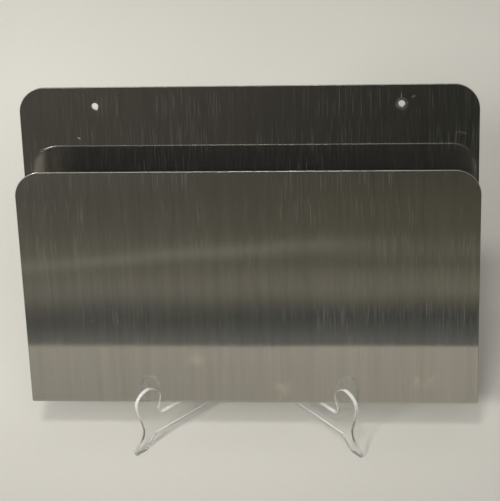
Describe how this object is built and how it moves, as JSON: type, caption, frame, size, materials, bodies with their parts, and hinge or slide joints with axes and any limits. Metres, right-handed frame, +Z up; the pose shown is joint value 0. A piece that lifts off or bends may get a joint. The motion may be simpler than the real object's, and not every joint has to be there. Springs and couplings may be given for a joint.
{
  "type": "brochure rack",
  "caption": "Open-ended literature pocket folded from brushed stainless sheet, leaning back on a clear one-piece acrylic easel with scroll front feet.",
  "frame": {"origin": "on the table, in the middle of the footprint's bounding box", "axes": "+X to the viewer's right along the pocket's width, +Y back, away from the viewer, +Z up; the pocket leans back 15 degrees towards +Y"},
  "size_m": [0.356, 0.1198, 0.2724],
  "materials": {
    "brushed_stainless": "satin brushed, fine straight grain running up the panels, light handling scratches",
    "clear_acrylic": "clear cast acrylic with flame-polished edges"
  },
  "bodies": {
    "easel": {"easel": "clear_acrylic"},
    "pocket": {"folded_pocket": "brushed_stainless"}
  },
  "joints": [
    {"name": "pocket_lift", "type": "slide", "parent": "easel", "child": "pocket", "axis": [0, 0.2588, 0.9659], "range_m": [0, 0.14]}
  ]
}
